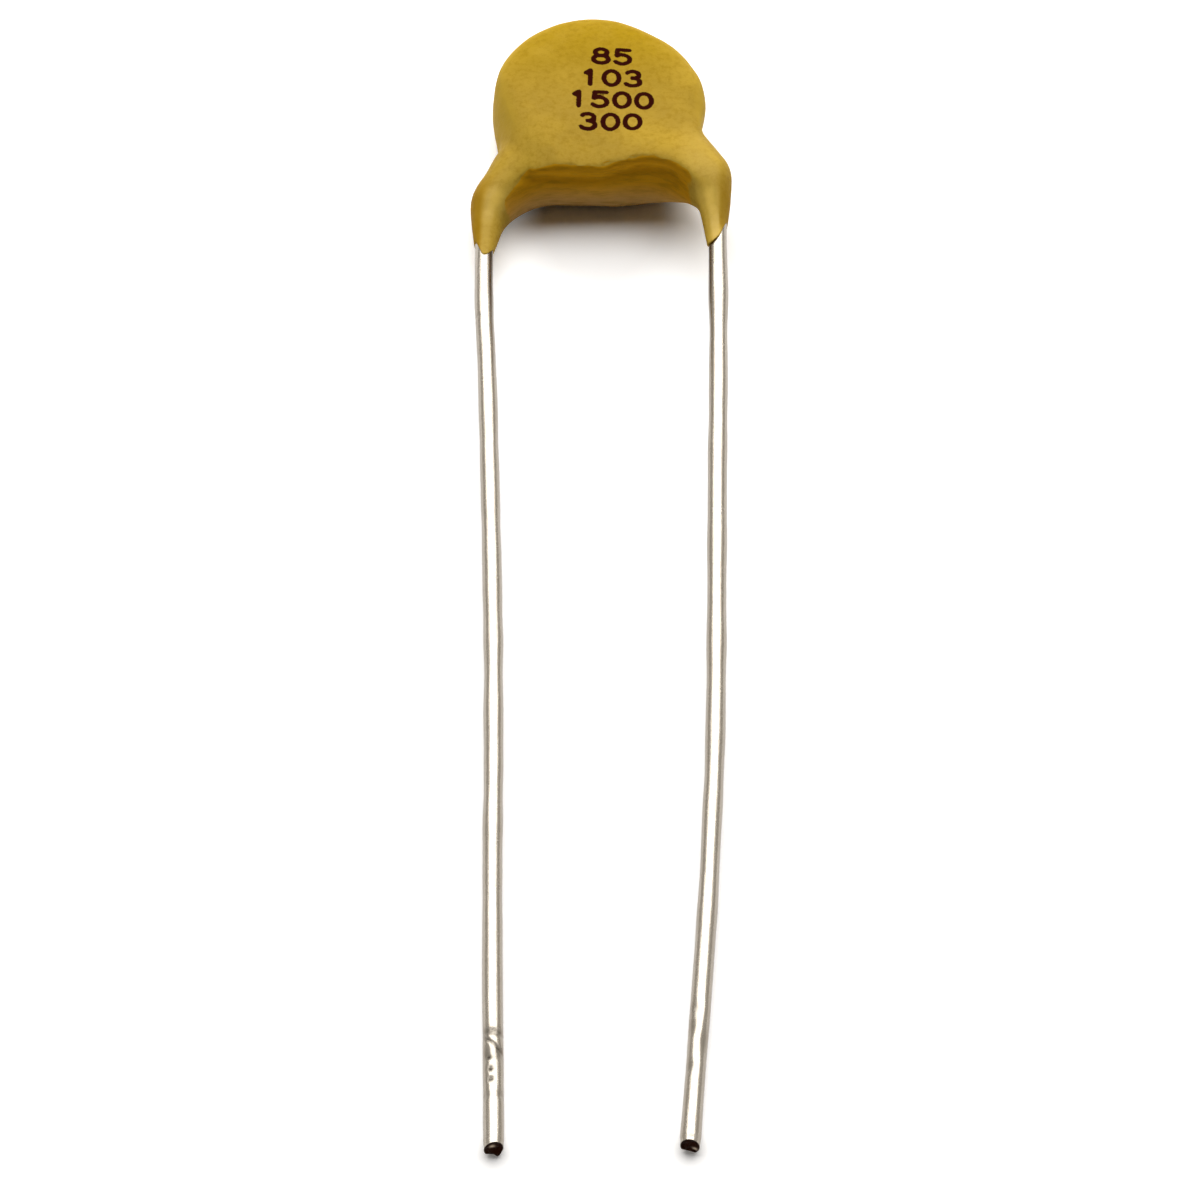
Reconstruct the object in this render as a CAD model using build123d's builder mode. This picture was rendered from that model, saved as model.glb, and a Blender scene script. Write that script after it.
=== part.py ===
"""Ceramic disc capacitor: a coated ceramic disc on two long wire leads, lying as it comes to rest.

The leads sit on opposite faces of the disc, so the piece is the same after half a turn about its
length: the upper side carries the right lead, and the lower side, turned over, the left one.
Millimetres and degrees. The origin is on the surface it lies on, halfway along its length.
"""

import math
import os

from build123d import *

# Wire leads
lead_diameter = 0.6
lead_pitch = 7.5
lead_free_length = 33.5
lead_bend_radius = 1.0
lead_bend_drop = 3.3
lead_end_across = 0.5
lead_end_above = 1.0
lead_exit_offset = 0.5
tip_slant = 17
tip_trim = 0.05
gentle_bend_share = 0.3

# Bends of the free runs: share of the free length, and how far in from the pitch line
knee_share = 0.07
left_elbow_share = 0.37
left_elbow_inset = 0.38
left_tip_inset = 0.73
left_extra_length = 0.2
right_elbow_share = 0.66
right_elbow_inset = 0.37
right_tip_inset = 1.24

# Ceramic disc, silver electrodes and solder
ceramic_diameter = 6.0
ceramic_thickness = 0.6
electrode_diameter = 5.4
electrode_thickness = 0.03
solder_film = 0.04
solder_length = 2.4
solder_width = 1.3
solder_height = 0.42
solder_taper = 25
solder_setback = 0.3

# Coating: disc, shoulders over the lead bends, and legs that thin out along the leads
coat_diameter = 7.1
coat_thickness = 2.4
coat_reach = 6.0
coat_end_wall = 0.04
coat_end_slant = 0.3
shoulder_drop = 3.45
shoulder_overhang = 0.52
shoulder_rise = 1.44
shoulder_fall = 0.1
shoulder_round = 1.5
notch_angle = 10
notch_run = 1.1
notch_round = 0.9
leg_overhang = 0.8
crotch_round = 1.9
front_round = 1.1
rest_share = 0.63
rest_lift = 0.007

# Where along its outer rail the coating changes form: start and length of each change
shoulder_shares = (0, 0.24)
top_shares = (0.22, 0.3)
bottom_shares = (0.1, 0.5)
rim_shares = (0.4, 0.22)
front_shares = (0.16, 0.34)
station_shares = (
    (0, 0.015, 0.035, 0.06, 0.09, 0.13, 0.17, 0.21, 0.25, 0.29, 0.33, 0.37, 0.41)
    + (0.45, 0.5, 0.56, 0.63, 0.71, 0.8, 0.9)
)

# Shape of a cross-section: a round one has round_share, a square one would have 1
fan_power = 1.7
front_power = 4
round_share = 0.5523
rim_side_share = 0.98
rim_face_share = 0.99
front_share = 0.95

# Worked out from the sizes above
lead_radius = lead_diameter / 2
half_pitch = lead_pitch / 2
coat_radius = coat_diameter / 2
coat_half = coat_thickness / 2
coat_end_radius = lead_radius + coat_end_wall
electrode_face = ceramic_thickness / 2 + electrode_thickness
lead_offset = electrode_face + solder_film + lead_radius
tip_reach = coat_reach + lead_free_length + left_extra_length

# Resting pose: the shoulder over the lower lead lifts the left side of the disc
rest_reach = rest_share * coat_radius
rest_roll = math.degrees(math.atan2(shoulder_rise + rest_lift - coat_half, half_pitch + rest_reach))
lean_cos = math.cos(math.radians(rest_roll))
lean_sin = math.sin(math.radians(rest_roll))
body_height = coat_half * lean_cos + rest_reach * lean_sin
body_y = (tip_reach - coat_radius) / 2
upper_side = Plane(
    origin=(0, body_y, body_height), x_dir=(lean_cos, 0, -lean_sin), z_dir=(lean_sin, 0, lean_cos)
)
lower_side = Plane(origin=upper_side.origin, x_dir=-upper_side.x_dir, z_dir=-upper_side.z_dir)


def change(share, shares):
    """Smooth step from 0 to 1 over a stretch of the rail, level at both ends."""
    start, length = shares
    held = min(max((share - start) / length, 0), 1)
    return held * held * (3 - 2 * held)


def gentle_radius(before, corner, after):
    """Radius of a bend that takes up the gentle share of the shorter run beside it."""
    run_in = corner - before
    run_out = after - corner
    half_turn = math.radians(run_in.get_angle(run_out)) / 2
    return gentle_bend_share * min(run_in.length, run_out.length) / math.tan(half_turn)


def lead_route(side, outward, free_length, free_bends):
    """Centre line of a lead, from its end on the disc to its tip on the resting surface."""
    inner_end = side.from_local_coords(Vector(lead_end_across, lead_end_above, lead_offset))
    shoulder = side.from_local_coords(Vector(half_pitch, -lead_bend_drop, lead_offset))
    leaving = side.from_local_coords(Vector(half_pitch, -coat_reach, lead_exit_offset))
    free_run = free_length + tip_trim
    knee = leaving + (leaving - shoulder).normalized() * knee_share * free_run
    points = [inner_end, shoulder, knee]
    for share, inset in free_bends:
        lowering = (share - knee_share) / (1 - knee_share)
        height = knee.Z + (lead_radius - knee.Z) * lowering
        points.append(Vector(outward * (half_pitch - inset), leaving.Y - share * free_run, height))
    radii = [lead_bend_radius]
    for before, corner, after in zip(points[1:], points[2:], points[3:]):
        radii.append(gentle_radius(before, corner, after))
    with BuildLine() as route:
        FilletPolyline(*points, radius=radii)
    return route.wire()


def make_lead(route, label):
    """Round wire along its route, cut at a slant so that the tip's face looks up and out."""
    ahead = route % 1
    up = (Vector(0, 0, 1) - ahead * ahead.Z).normalized()
    slant = math.radians(tip_slant)
    setback = tip_trim + lead_radius * math.tan(slant)
    cut = Plane(origin=route @ 1 - ahead * setback, z_dir=ahead * math.cos(slant) + up * math.sin(slant))
    with BuildPart() as lead:
        with BuildSketch(Plane(origin=route @ 0, z_dir=route % 0)):
            Circle(lead_radius)
        sweep(path=route)
        split(bisect_by=cut, keep=Keep.BOTTOM)
    lead.part.label = label
    return lead.part


def make_electrode(side, label):
    """Thin round silver film on one face of the ceramic disc."""
    with BuildPart() as electrode:
        with BuildSketch(side.offset(ceramic_thickness / 2)):
            Circle(electrode_diameter / 2)
        extrude(amount=electrode_thickness)
    electrode.part.label = label
    return electrode.part


def make_solder(side, lead, label):
    """Long low mound of solder on an electrode, bedding the inner end of a lead."""
    run = Vector(half_pitch - lead_end_across, -lead_bend_drop - lead_end_above, 0)
    place = Vector(lead_end_across, lead_end_above, 0)
    place += run.normalized() * (solder_setback + solder_length / 2)
    with BuildPart() as solder:
        with BuildSketch(side.offset(electrode_face)):
            with Locations(Location(place, math.degrees(math.atan2(run.Y, run.X)))):
                Rectangle(solder_length, solder_width)
        extrude(amount=solder_height, taper=solder_taper)
        add(lead, mode=Mode.SUBTRACT)
    solder.part.label = label
    return solder.part


# Leads
right_bends = [(right_elbow_share, right_elbow_inset), (1, right_tip_inset)]
left_bends = [(left_elbow_share, left_elbow_inset), (1, left_tip_inset)]
right_route = lead_route(upper_side, 1, lead_free_length, right_bends)
left_route = lead_route(lower_side, -1, lead_free_length + left_extra_length, left_bends)
lead_right = make_lead(right_route, "lead_right")
lead_left = make_lead(left_route, "lead_left")

# Ceramic disc
with BuildPart() as ceramic_disc:
    with BuildSketch(upper_side.offset(-ceramic_thickness / 2)):
        Circle(ceramic_diameter / 2)
    extrude(amount=ceramic_thickness)
ceramic_disc.part.label = "ceramic_disc"

# Electrodes and solder joints
electrode_upper = make_electrode(upper_side, "electrode_upper")
electrode_lower = make_electrode(lower_side, "electrode_lower")
solder_upper = make_solder(upper_side, lead_right, "solder_upper")
solder_lower = make_solder(lower_side, lead_left, "solder_lower")
inner_pieces = [
    ceramic_disc.part,
    electrode_upper,
    electrode_lower,
    solder_upper,
    solder_lower,
    lead_right,
    lead_left,
]

# Plan rails of one half of the coating: round the outside, and round the arch between the legs
notch_turn = math.radians(notch_angle)
notch_end = Vector(coat_radius * math.cos(notch_turn), -coat_radius * math.sin(notch_turn))
notch = notch_end - Vector(math.sin(notch_turn), math.cos(notch_turn)) * notch_run
with BuildLine() as outer_rail:
    FilletPolyline(
        (half_pitch + coat_end_radius, -coat_reach),
        (half_pitch + shoulder_overhang, -shoulder_drop),
        notch,
        notch_end,
        radius=[shoulder_round, notch_round],
    )
    CenterArc((0, 0), coat_radius, -notch_angle, 90 + notch_angle)
with BuildLine() as inner_rail:
    FilletPolyline(
        (half_pitch - coat_end_radius, -coat_reach - coat_end_slant),
        (half_pitch - leg_overhang, -coat_radius),
        (0, -coat_radius),
        radius=[crotch_round],
    )
outer_wire = outer_rail.wire()
inner_wire = inner_rail.wire()


def coat_section(side, share):
    """One cross-section of the coating: rim, crest, front, crest of the other side, and back to the rim."""
    outer = outer_wire @ share
    inner = inner_wire @ (1 - (1 - share) ** fan_power)
    across = (outer - inner).normalized()
    chord = (outer - inner).length
    half_chord = chord / 2
    front = half_chord / (1 + (half_chord / front_round) ** front_power) ** (1 / front_power)
    rim = chord - front

    swelling = change(share, shoulder_shares)
    lead_height = lead_exit_offset + (lead_offset - lead_exit_offset) * swelling
    top = lead_exit_offset + coat_end_radius
    top += (shoulder_rise - top) * swelling
    top += (coat_half - shoulder_rise) * change(share, top_shares)
    bottom = lead_exit_offset - coat_end_radius
    bottom += (-shoulder_fall - bottom) * swelling
    bottom += (shoulder_fall - coat_half) * change(share, bottom_shares)

    rim_change = change(share, rim_shares)
    rim_height = lead_height * (1 - rim_change)
    rim_side = round_share + (rim_side_share - round_share) * rim_change
    rim_face = round_share + (rim_face_share - round_share) * rim_change
    front_change = change(share, front_shares)
    front_height = lead_height + ((top + bottom) / 2 - lead_height) * front_change
    square = round_share + (front_share - round_share) * front_change

    def quarter(end, height, level, side_share, face_share):
        """Control points from one end of the section, straight up or down, and over to a crest."""
        turn = height + (level - height) * side_share
        points = [(end, height), (end, turn), (end * face_share, level), (0, level)]
        return [
            side.from_local_coords(inner + across * (front + along) + Vector(0, 0, rise))
            for along, rise in points
        ]

    first, second = (top, bottom) if side is upper_side else (bottom, top)
    quarters = [
        quarter(rim, rim_height, first, rim_side, rim_face),
        quarter(-front, front_height, first, square, square)[::-1],
        quarter(-front, front_height, second, square, square),
        quarter(rim, rim_height, second, rim_side, rim_face)[::-1],
    ]
    return Face(Wire([Bezier(*points) for points in quarters]))


# The coating is one loft, from the left leg over the disc to the right leg
sections = [coat_section(lower_side, share) for share in station_shares]
sections += [coat_section(upper_side, 1)]
sections += [coat_section(upper_side, share) for share in reversed(station_shares)]
with BuildPart() as coating:
    loft(sections)
    add(inner_pieces, mode=Mode.SUBTRACT)
coating.part.label = "coating"

os.makedirs("parts", exist_ok=True)
for piece in [coating.part] + inner_pieces:
    export_step(piece, f"parts/{piece.label}.step")
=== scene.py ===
"""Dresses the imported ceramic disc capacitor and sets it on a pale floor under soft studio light.

Lengths are millimetres until a mesh is made and metres in the scene. The leads lie on opposite
faces of the disc: the upper side carries the right lead, and the lower side, which is the same
shape turned over about the length, carries the left one.
"""

import logging
import math
from dataclasses import dataclass
from enum import Enum
from typing import Any, Optional, Sequence, Union

import bpy
import numpy as np
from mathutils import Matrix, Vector


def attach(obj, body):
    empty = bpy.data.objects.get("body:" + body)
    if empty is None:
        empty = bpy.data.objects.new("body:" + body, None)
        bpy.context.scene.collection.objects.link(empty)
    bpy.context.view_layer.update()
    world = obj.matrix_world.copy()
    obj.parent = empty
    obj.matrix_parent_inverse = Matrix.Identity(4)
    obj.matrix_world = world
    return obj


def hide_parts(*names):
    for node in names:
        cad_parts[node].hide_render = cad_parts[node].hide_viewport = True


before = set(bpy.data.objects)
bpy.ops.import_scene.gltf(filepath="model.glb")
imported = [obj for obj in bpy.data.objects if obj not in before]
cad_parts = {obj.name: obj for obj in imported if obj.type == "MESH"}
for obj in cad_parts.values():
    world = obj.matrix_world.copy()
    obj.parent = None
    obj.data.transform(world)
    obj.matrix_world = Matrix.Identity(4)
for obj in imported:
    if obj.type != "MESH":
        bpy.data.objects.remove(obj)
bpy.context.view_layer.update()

log = logging.getLogger("capacitor")

MM = 0.001
TINY = 1e-6
BODY = "root"

Colour = tuple[float, float, float, float]
Pair = tuple[float, float]
Triple = tuple[float, float, float]


class Slot(Enum):
    """Material slots of the pieces that are made here."""

    COATING = "epoxy_coating"
    WIRE = "tinned_wire"


class Mark(Enum):
    """Numbers that a mesh carries at its points for its finish."""

    PRINT = "print_depth"
    CROTCH_SHADE = "crotch"
    CREST_HIGHLIGHT = "crest"
    STEEP_SHADE = "steep"
    RIM_LIGHT = "rim"
    FLANK_SHADE = "flank_shade"
    CUT = "sheared"
    GLINT = "glint"
    SCRAPED_AND_SHADED = "scraped_and_shaded"


def paint(red: int, green: int, blue: int) -> Colour:
    """Turn a colour as seen on a screen into linear light, by the curve of sRGB.

    Args:
        red: Red level from 0 to 255.
        green: Green level from 0 to 255.
        blue: Blue level from 0 to 255.

    Returns:
        Linear red, green, blue and full opacity.
    """
    levels = np.array([red, green, blue]) / 255
    linear = np.where(levels <= 0.04045, levels / 12.92, ((levels + 0.055) / 1.055) ** 2.4)
    return (*linear.tolist(), 1.0)


def unit(vectors: np.ndarray) -> np.ndarray:
    """Scale each vector to length one."""
    return vectors / np.linalg.norm(vectors, axis=-1, keepdims=True)


def mix(first: Any, second: Any, share: Any) -> Any:
    """Go a share of the way from the first value to the second."""
    return first + (second - first) * share


def normals(grid: np.ndarray) -> np.ndarray:
    """Outward unit normals of closed rings: the cross product of the differences around and along.

    Args:
        grid: Rings of points.

    Returns:
        A normal for each point; a nudge keeps points without one from dividing by zero.
    """
    nudge = 1e-12
    along = np.gradient(grid, axis=0)
    around = (np.roll(grid, -1, axis=1) - np.roll(grid, 1, axis=1)) / 2
    return unit(np.cross(around, along) + nudge)


@dataclass(frozen=True)
class Ramp:
    """Smooth step 3t^2 - 2t^3 from 0 at start to its size a length on, which may be backwards."""

    start: float
    length: float
    size: float = 1.0

    def __call__(self, values: np.ndarray) -> np.ndarray:
        """The step at each value."""
        held = np.clip((values - self.start) / self.length, 0, 1)
        return self.size * held * held * (3 - 2 * held)


@dataclass(frozen=True)
class Bell:
    """Bell e^(-t^2) times its size, with t the distance from the middle in widths."""

    middle: float
    width: float
    size: float = 1.0

    def __call__(self, values: np.ndarray) -> np.ndarray:
        """The bell at each value."""
        return self.size * np.exp(-(((values - self.middle) / self.width) ** 2))


@dataclass(frozen=True)
class Waves:
    """Smooth unevenness: plane sine waves with seeded directions, lengths and phases."""

    height: float
    wavelengths: Pair
    count: int
    seed: int = 0
    squeeze: Triple = (1.0, 1.0, 1.0)

    def at(self, points: np.ndarray, extra: int = 0) -> np.ndarray:
        """Sum of the sines at each place, over the root of their number.

        Args:
            points: Places in space, with x, y and z last.
            extra: Added to the seed.

        Returns:
            A height of about minus to plus the waves' own for each place.
        """
        draw = np.random.default_rng(self.seed + extra)
        directions = unit(draw.normal(size=(self.count, 3)))
        numbers = 2 * math.pi / draw.uniform(*self.wavelengths, size=(self.count, 1))
        phases = draw.uniform(0, 2 * math.pi, size=self.count)
        waves = np.sin((points * self.squeeze) @ (directions * numbers).T + phases)
        return self.height * waves.sum(axis=-1) / math.sqrt(self.count)


class Route:
    """A curve through space that is read by its share of length."""

    def __init__(self, points: np.ndarray) -> None:
        """Keep the points and their running length.

        Args:
            points: Points along the curve, in order.
        """
        self.points = points
        steps = np.linalg.norm(np.diff(points, axis=0), axis=1)
        self.lengths = np.concatenate([[0.0], np.cumsum(steps)])

    @property
    def length(self) -> float:
        """Length of the whole curve."""
        return float(self.lengths[-1])

    def at(self, shares: np.ndarray) -> np.ndarray:
        """Points at the given shares of the length."""
        reach = shares * self.length
        return np.stack([np.interp(reach, self.lengths, axis) for axis in self.points.T], axis=-1)

    def heading(self, shares: np.ndarray, step: float = 1e-4) -> np.ndarray:
        """Unit direction of travel at the given shares, from points a step before and after."""
        return unit(self.at(np.minimum(shares + step, 1)) - self.at(np.maximum(shares - step, 0)))

    @staticmethod
    def rounded(
        corners: Sequence[Sequence[float]], radii: Sequence[float], steps: int = 60
    ) -> np.ndarray:
        """Points along straight runs whose inner corners are tangent arcs.

        With unit directions back and on from a corner and half the angle between them, the arc of
        radius r begins r / tan(half) from the corner and has its centre r / sin(half) along the
        bisector.

        Args:
            corners: The ends of the runs.
            radii: Radius of the arc at each inner corner.
            steps: Points on each arc.

        Returns:
            Points in order, the arcs finely divided.
        """
        corners = np.asarray(corners, dtype=float)
        pieces = [corners[:1]]
        for before, corner, after, radius in zip(corners, corners[1:], corners[2:], radii):
            back = unit(before - corner)
            onward = unit(after - corner)
            half = math.acos(float(np.clip(back @ onward, -1, 1))) / 2
            centre = corner + unit(back + onward) * radius / math.sin(half)
            start = corner + back * radius / math.tan(half)
            turn = np.linspace(0, math.pi - 2 * half, steps)[:, None]
            spoke = np.cos(turn) * unit(start - centre) - np.sin(turn) * back
            pieces.append(centre + radius * spoke)
        pieces.append(corners[-1:])
        return np.concatenate(pieces)


@dataclass(frozen=True)
class Side:
    """One side of the disc as a plane with its middle, its across and its outward direction."""

    origin: np.ndarray
    across: np.ndarray
    outward: np.ndarray

    def axes(self) -> np.ndarray:
        """The side's own three directions as rows."""
        return np.stack([self.across, np.cross(self.outward, self.across), self.outward])

    def place(self, local: np.ndarray) -> np.ndarray:
        """Move points from this side's own axes to the row frame."""
        return self.origin + local @ self.axes()

    def local(self, points: np.ndarray) -> np.ndarray:
        """Move points from the row frame to this side's own axes."""
        return (points - self.origin) @ self.axes().T


@dataclass(frozen=True)
class Skin:
    """A tube-like grid of rings, each a closed loop of points, that becomes a closed mesh."""

    name: str
    grid: np.ndarray
    marks: dict[Mark, np.ndarray]

    def mesh(self) -> bpy.types.Mesh:
        """Make the mesh: quads between the rings and a fan of triangles over each end.

        Returns:
            The mesh with its marks; the middle of each end takes the mean of its ring.
        """
        rings, count, _ = self.grid.shape
        ends = self.grid[[0, -1]].mean(axis=1)
        points = np.concatenate([self.grid.reshape(-1, 3), ends]) * MM
        index = np.arange(rings * count).reshape(rings, count)
        onward = np.roll(index, -1, axis=1)
        quads = np.stack([index[:-1], onward[:-1], onward[1:], index[1:]], axis=-1).reshape(-1, 4)
        first = np.stack([onward[0], index[0], np.full(count, rings * count)], axis=-1)
        last = np.stack([index[-1], onward[-1], np.full(count, rings * count + 1)], axis=-1)
        fans = np.concatenate([first, last])
        corners = np.concatenate([quads.ravel(), fans.ravel()])
        starts = np.concatenate([np.arange(len(quads)) * 4, quads.size + np.arange(len(fans)) * 3])

        mesh = bpy.data.meshes.new(self.name)
        mesh.vertices.add(len(points))
        mesh.vertices.foreach_set("co", points.astype(np.float32).ravel())
        mesh.loops.add(len(corners))
        mesh.loops.foreach_set("vertex_index", corners.astype(np.int32))
        mesh.polygons.add(len(starts))
        mesh.polygons.foreach_set("loop_start", starts.astype(np.int32))
        mesh.update(calc_edges=True)
        mesh.validate()
        mesh.shade_smooth()
        for mark, values in self.marks.items():
            layer = mesh.attributes.new(mark.value, "FLOAT", "POINT")
            middles = values[[0, -1]].mean(axis=1)
            layer.data.foreach_set("value", np.append(values, middles).astype(np.float32))
        return mesh

    def build(self, material: bpy.types.Material, slot: Slot, replaced: str) -> bpy.types.Object:
        """Make the object and hide the solid that it stands for.

        Args:
            material: Finish of the piece.
            slot: Slot of the record that the finish belongs to; not used.
            replaced: Node of the solid model that the piece stands for.

        Returns:
            The finished object, riding on the body.
        """
        piece = bpy.data.objects.new(self.name, self.mesh())
        piece.data.materials.append(material)
        bpy.context.scene.collection.objects.link(piece)
        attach(piece, BODY)
        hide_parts(replaced)
        return piece


Value = Union["Tone", bpy.types.NodeSocket, float, int, Sequence[float]]


class Tone:
    """A number in a shader: a socket whose operators add Math nodes."""

    def __init__(self, bench: "Bench", socket: bpy.types.NodeSocket) -> None:
        """Keep the bench that the nodes go on and the socket that gives the number."""
        self.bench = bench
        self.socket = socket

    def math(self, operation: str, *values: Value) -> "Tone":
        """Add one Math node, by Blender's name of the operation and its inputs in order."""
        node = self.bench.node("ShaderNodeMath", {"operation": operation}, dict(enumerate(values)))
        return Tone(self.bench, node.outputs[0])

    def __add__(self, other: Value) -> "Tone":
        """Sum."""
        return self.math("ADD", self, other)

    def __radd__(self, other: Value) -> "Tone":
        """Sum."""
        return self.math("ADD", other, self)

    def __sub__(self, other: Value) -> "Tone":
        """Difference."""
        return self.math("SUBTRACT", self, other)

    def __rsub__(self, other: Value) -> "Tone":
        """Difference the other way round."""
        return self.math("SUBTRACT", other, self)

    def __mul__(self, other: Value) -> "Tone":
        """Product."""
        return self.math("MULTIPLY", self, other)

    def __rmul__(self, other: Value) -> "Tone":
        """Product."""
        return self.math("MULTIPLY", other, self)

    def step(self, low: float, high: float) -> "Tone":
        """Smooth step.

        Args:
            low: Where it is 0.
            high: Where it is 1, above low.

        Returns:
            The step.
        """
        settings = {"interpolation_type": "SMOOTHSTEP"}
        inputs = {"Value": self, "From Min": low, "From Max": high, "To Min": 0.0, "To Max": 1.0}
        node = self.bench.node("ShaderNodeMapRange", settings, inputs)
        return Tone(self.bench, node.outputs[0])


@dataclass(frozen=True)
class Grain:
    """Cloudy noise: cells per millimetre, octaves, weight of finer ones, stretch of the axes."""

    scale: float
    detail: float
    rough: float = 0.5
    stretch: Optional[Triple] = None


class Bench:
    """The node tree of one material, or that of the room."""

    def __init__(
        self, tree: bpy.types.NodeTree, material: Optional[bpy.types.Material] = None
    ) -> None:
        """Empty a tree and keep it, with the material that it belongs to.

        Args:
            tree: The tree that the nodes go into.
            material: Its material, if it has one.
        """
        tree.nodes.clear()
        self.tree = tree
        self.material = material

    @classmethod
    def new(cls, name: str) -> "Bench":
        """Start a material.

        Args:
            name: Name of the material.

        Returns:
            The bench with its tree.
        """
        material = bpy.data.materials.new(name)
        material.use_nodes = True
        return cls(material.node_tree, material)

    def feed(self, socket: bpy.types.NodeSocket, value: Value) -> None:
        """Link or set one input socket.

        Args:
            socket: The input.
            value: A number in the shader or a socket to link, or a constant.
        """
        if isinstance(value, Tone):
            value = value.socket
        if isinstance(value, bpy.types.NodeSocket):
            self.tree.links.new(value, socket)
        else:
            socket.default_value = value

    def node(self, kind: str, settings: dict[str, Any], inputs: dict[Any, Value]) -> bpy.types.Node:
        """Add one node.

        Args:
            kind: Blender's name of the node type.
            settings: Properties that are set first.
            inputs: Values or links by the name or number of the input socket.

        Returns:
            The node.
        """
        node = self.tree.nodes.new(kind)
        for name, value in settings.items():
            setattr(node, name, value)
        for name, value in inputs.items():
            self.feed(node.inputs[name], value)
        return node

    def vector(self, operation: str, *values: Value) -> bpy.types.NodeOutputs:
        """Outputs of one Vector Math node, by the name of the operation and its inputs in order."""
        settings = {"operation": operation}
        return self.node("ShaderNodeVectorMath", settings, dict(enumerate(values))).outputs

    def places(self) -> bpy.types.NodeSocket:
        """Object coordinates in millimetres."""
        metres = self.node("ShaderNodeTexCoord", {}, {}).outputs["Object"]
        return self.vector("MULTIPLY", metres, (1 / MM, 1 / MM, 1 / MM))["Vector"]

    def axis(self, vector: bpy.types.NodeSocket, name: str) -> Tone:
        """One of the numbers X, Y and Z of a vector."""
        return Tone(self, self.node("ShaderNodeSeparateXYZ", {}, {0: vector}).outputs[name])

    def noise(self, vector: bpy.types.NodeSocket, grain: Grain) -> Tone:
        """Cloudy noise between 0 and 1 with a mean of a half.

        Args:
            vector: Where it is read.
            grain: Its scale and form.

        Returns:
            The noise.
        """
        if grain.stretch:
            vector = self.vector("MULTIPLY", vector, grain.stretch)["Vector"]
        inputs = {"Scale": grain.scale, "Detail": grain.detail, "Roughness": grain.rough}
        node = self.node("ShaderNodeTexNoise", {}, {"Vector": vector, **inputs})
        return Tone(self, node.outputs[0])

    def attribute(self, mark: Mark) -> Tone:
        """A number that the mesh carries at its points."""
        settings = {"attribute_name": mark.value}
        return Tone(self, self.node("ShaderNodeAttribute", settings, {}).outputs["Fac"])

    def blend(self, amount: Value, first: Value, second: Value) -> bpy.types.NodeSocket:
        """Mix two colours: 0 gives the first and 1 the second."""
        inputs = {0: amount, 6: first, 7: second}
        return self.node("ShaderNodeMix", {"data_type": "RGBA"}, inputs).outputs[2]

    def seen(self) -> Tone:
        """Tell rays that show a thing to the eye, straight or mirrored, from those that light.

        Returns:
            1 for the rays that show and 0 for the others.
        """
        rays = self.node("ShaderNodeLightPath", {}, {}).outputs
        shown = Tone(self, rays["Is Camera Ray"]) + rays["Is Glossy Ray"]
        total = shown + rays["Is Transmission Ray"]
        return total.math("MINIMUM", total, 1.0)

    def bump(
        self, height: Value, depth: float, below: Optional[bpy.types.NodeSocket] = None
    ) -> bpy.types.NodeSocket:
        """Bend the normal by a height.

        Args:
            height: Height from 0 to 1.
            depth: Depth in millimetres of a height of 1.
            below: A normal that is already bent.

        Returns:
            The new normal.
        """
        inputs = {"Height": height, "Distance": depth * MM, "Strength": 1.0}
        if below is not None:
            inputs["Normal"] = below
        return self.node("ShaderNodeBump", {}, inputs).outputs[0]

    def finish(self, inputs: dict[str, Value]) -> bpy.types.Material:
        """Add the Principled shader and the output.

        Args:
            inputs: Values or links of the shader by name.

        Returns:
            The material.
        """
        shader = self.node("ShaderNodeBsdfPrincipled", {}, inputs)
        self.node("ShaderNodeOutputMaterial", {}, {"Surface": shader.outputs[0]})
        return self.material


@dataclass(frozen=True)
class Wash:
    """A colour laid over another: none where a number is at low, its full amount at high."""

    low: float
    high: float
    amount: float
    colour: Colour

    def over(self, under: Value, tone: Tone) -> bpy.types.NodeSocket:
        """Lay the colour over another one by a number."""
        return tone.bench.blend(tone.step(self.low, self.high) * self.amount, under, self.colour)


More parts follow.
